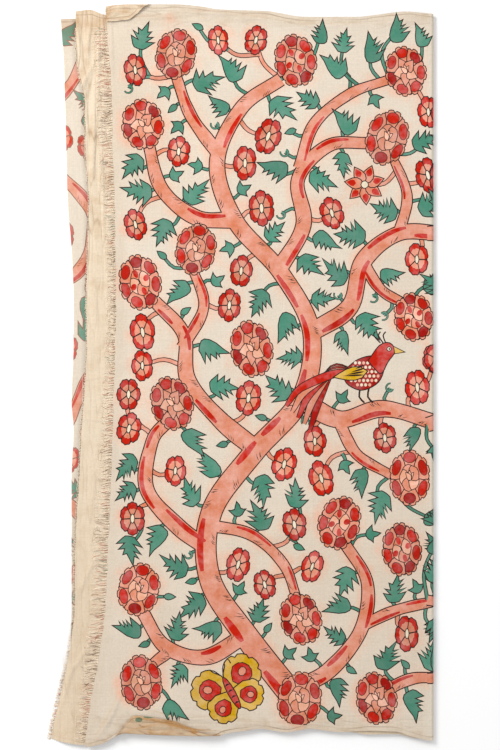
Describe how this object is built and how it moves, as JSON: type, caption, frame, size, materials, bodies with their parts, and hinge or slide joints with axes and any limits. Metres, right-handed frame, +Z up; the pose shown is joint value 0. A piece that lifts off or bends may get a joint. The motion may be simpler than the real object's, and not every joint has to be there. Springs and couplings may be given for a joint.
{
  "type": "folded kalamkari fabric",
  "caption": "Flat folded length of hand-drawn printed cotton cloth with frayed cut ends, to lie on a surface.",
  "frame": {"origin": "centre of the outline, on the surface that the cloth lies on", "axes": "+Y from the lower selvedge to the upper one, +X from the frayed ends to the right folds, +Z up out of the printed face"},
  "size_m": [0.585, 1.118, 0.0145],
  "materials": {
    "printed_cotton": "unbleached handloom cotton, drawn and dyed in salmon, red and green, matt",
    "cotton_threads": "loose unbleached cotton yarn ends, matt"
  },
  "bodies": {
    "root": {"cloth": "printed_cotton", "fringe_front": "cotton_threads", "fringe_second": "cotton_threads"}
  },
  "joints": []
}
